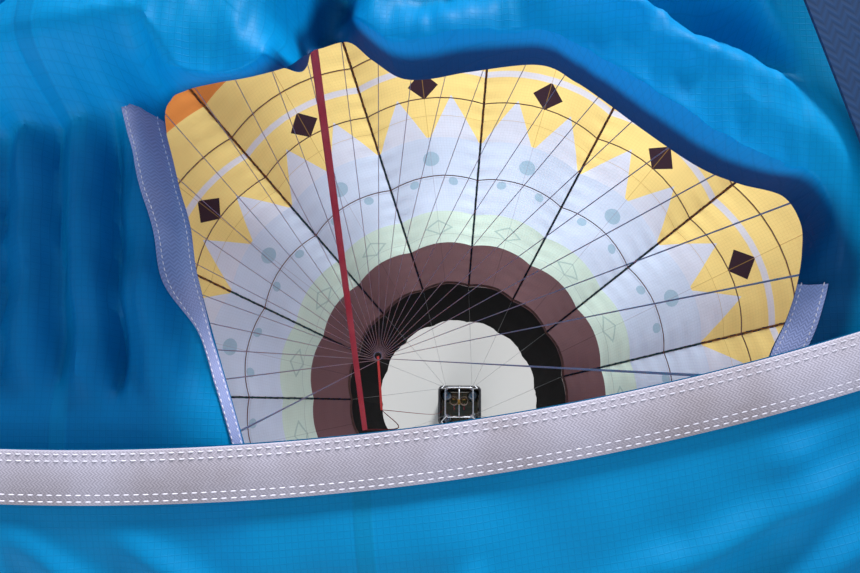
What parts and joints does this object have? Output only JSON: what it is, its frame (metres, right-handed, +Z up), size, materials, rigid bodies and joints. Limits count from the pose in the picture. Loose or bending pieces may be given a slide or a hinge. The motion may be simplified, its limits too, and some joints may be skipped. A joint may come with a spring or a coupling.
{
  "type": "hot air balloon",
  "caption": "Hot air balloon: lobed striped cloth envelope with a vent panel at the crown, skirt, wires, twin gimballed burners, load frame and wicker basket.",
  "frame": {"origin": "on the envelope's vertical axis in its widest plane, where the air holds the balloon up", "axes": "+Z up along the envelope's axis, +X across the basket's long side, +Y across its short side; the vent gap is on the -Y side"},
  "size_m": [17.3358, 17.3272, 23.2719],
  "materials": {
    "heat_cloth": "matt dark brown heat-resistant cloth",
    "mint_cloth": "satin coated cloth",
    "lavender_cloth": "satin coated cloth",
    "yellow_cloth": "satin coated cloth",
    "orange_cloth": "satin coated cloth",
    "red_cloth": "satin coated cloth",
    "blue_cloth": "satin coated cloth",
    "skirt_cloth": "matt black heat-resistant cloth",
    "grey_webbing": "woven load webbing",
    "brown_webbing": "woven load webbing",
    "dark_webbing": "woven load webbing",
    "aluminium": "brushed",
    "brushed_steel": "brushed tube",
    "brass": "satin",
    "burner_steel": "heat-tinted",
    "cylinder_steel": "brushed",
    "wire_rope": "stranded",
    "black_wicker": "woven black-stained cane",
    "black_leather": "semi-matt hide",
    "plywood": "varnished plywood",
    "hardwood": "worn hardwood"
  },
  "bodies": {
    "airframe": {"band_1_heat": "heat_cloth", "band_2_mint": "mint_cloth", "band_3_lavender": "lavender_cloth", "band_4_yellow": "yellow_cloth", "band_5_orange": "orange_cloth", "band_6_red": "red_cloth", "band_7_crown": "blue_cloth", "skirt": "skirt_cloth", "vent_rim_tape": "grey_webbing", "mouth_tape": "brown_webbing", "crown_ring": "aluminium", "load_frame": "brushed_steel", "basket_wicker": "black_wicker", "basket_floor": "plywood", "basket_rim": "black_leather", "basket_hide": "black_leather", "load_tape_01": "dark_webbing", "load_tape_02": "dark_webbing", "load_tape_03": "dark_webbing", "load_tape_04": "dark_webbing", "load_tape_05": "dark_webbing", "load_tape_06": "dark_webbing", "load_tape_07": "dark_webbing", "load_tape_08": "dark_webbing", "load_tape_09": "dark_webbing", "load_tape_10": "dark_webbing", "load_tape_11": "dark_webbing", "load_tape_12": "dark_webbing", "load_tape_13": "dark_webbing", "load_tape_14": "dark_webbing", "upright_1": "black_leather", "upright_2": "black_leather", "upright_3": "black_leather", "upright_4": "black_leather", "cylinder_1": "cylinder_steel", "cylinder_2": "cylinder_steel", "cylinder_3": "cylinder_steel", "cylinder_4": "cylinder_steel", "flying_wires_1": "wire_rope", "flying_wires_2": "wire_rope", "flying_wires_3": "wire_rope", "flying_wires_4": "wire_rope", "runner_1": "hardwood", "runner_2": "hardwood", "runner_3": "hardwood"},
    "parachute": {"parachute_vent": "blue_cloth"},
    "gimbal": {"gimbal_bar": "brushed_steel"},
    "burner": {"burner_block": "brass", "burner_can_left": "burner_steel", "burner_can_right": "burner_steel", "burner_coil_left": "burner_steel", "burner_coil_right": "burner_steel"}
  },
  "joints": [
    {"name": "vent_pull", "type": "slide", "parent": "airframe", "child": "parachute", "axis": [0, 0, -1], "range_m": [0, 1.2]},
    {"name": "gimbal_roll", "type": "hinge", "parent": "airframe", "child": "gimbal", "pos_m": [0, 0, -14.7], "axis": [0, 1, 0], "range_deg": [-15, 15]},
    {"name": "burner_pitch", "type": "hinge", "parent": "gimbal", "child": "burner", "pos_m": [0, 0, -14.7], "axis": [1, 0, 0], "range_deg": [-15, 15]}
  ]
}
